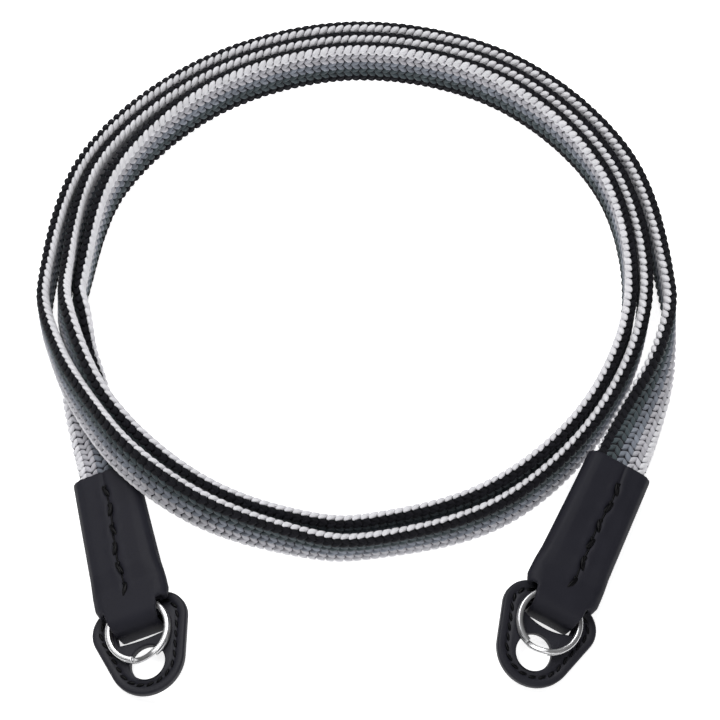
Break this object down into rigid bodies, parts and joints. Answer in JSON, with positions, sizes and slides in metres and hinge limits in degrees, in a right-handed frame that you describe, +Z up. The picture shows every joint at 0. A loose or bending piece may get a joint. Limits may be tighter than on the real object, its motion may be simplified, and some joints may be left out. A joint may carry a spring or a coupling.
{
  "type": "coiled camera strap",
  "caption": "Flat braided camera strap coiled on its edge, with leather sleeves, split rings and leather ring guards at its ends.",
  "frame": {"origin": "on the resting plane, under the middle of the coiled strap's bounding box", "axes": "+Z up from the resting plane; the two leather ends point towards -Y, the left end at -X and the right end at +X"},
  "size_m": [0.1478, 0.1752, 0.0235],
  "materials": {
    "braid": "braided cord webbing that fades from black at one edge through blue-grey to white at the other",
    "sleeve_leather": "smooth satin black leather with black waxed stitching",
    "ring_steel": "bright polished spring steel",
    "guard_leather": "satin black leather with burnished edges and black stitching"
  },
  "bodies": {
    "root": {"strap_band": "braid", "left_sleeve": "sleeve_leather", "right_sleeve": "sleeve_leather", "left_ring": "ring_steel", "right_ring": "ring_steel", "left_guard": "guard_leather", "right_guard": "guard_leather"}
  },
  "joints": []
}
